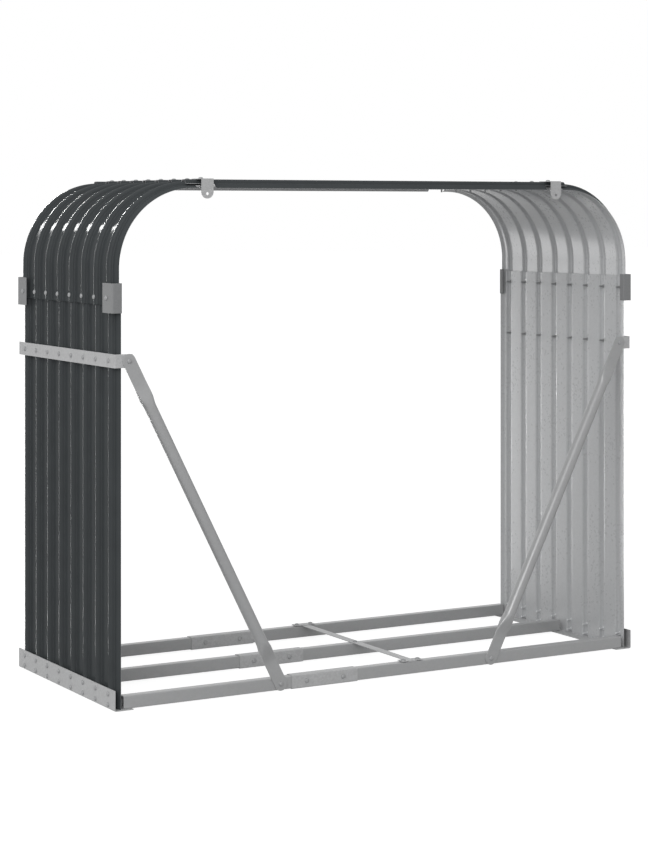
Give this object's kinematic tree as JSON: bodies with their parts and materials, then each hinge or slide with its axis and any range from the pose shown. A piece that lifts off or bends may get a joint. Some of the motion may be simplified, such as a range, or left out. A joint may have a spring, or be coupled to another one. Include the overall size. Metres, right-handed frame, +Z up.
{
  "type": "log store",
  "caption": "Open-fronted steel log store with ribbed sheet walls, curved ribbed corners and a flat ribbed roof on a low frame of floor rails, with slanted braces at the front.",
  "frame": {"origin": "centre of the outer bounds at ground level", "axes": "+X to the right seen from the front, +Y to the back, +Z up"},
  "size_m": [1.8784, 0.7432, 1.5435],
  "materials": {
    "painted_sheet": "gloss outside, bare zinc inside",
    "galvanised_steel": "galvanised"
  },
  "bodies": {
    "root": {"left_wall_panel": "painted_sheet", "right_wall_panel": "painted_sheet", "left_corner_panel": "painted_sheet", "right_corner_panel": "painted_sheet", "roof_panel": "painted_sheet", "left_base_angle": "galvanised_steel", "right_base_angle": "galvanised_steel", "front_rail_left": "galvanised_steel", "front_rail_right": "galvanised_steel", "middle_rail_left": "galvanised_steel", "middle_rail_right": "galvanised_steel", "back_rail_left": "galvanised_steel", "back_rail_right": "galvanised_steel", "front_rail_sleeve": "galvanised_steel", "middle_rail_sleeve": "galvanised_steel", "back_rail_sleeve": "galvanised_steel", "cross_strap": "galvanised_steel", "cross_strap_front_plate": "galvanised_steel", "cross_strap_back_plate": "galvanised_steel", "left_wall_strap": "galvanised_steel", "right_wall_strap": "galvanised_steel", "left_brace": "galvanised_steel", "right_brace": "galvanised_steel", "front_left_clamp": "galvanised_steel", "front_right_clamp": "galvanised_steel", "back_left_clamp": "galvanised_steel", "back_right_clamp": "galvanised_steel", "left_hanger": "galvanised_steel", "right_hanger": "galvanised_steel"}
  },
  "joints": []
}
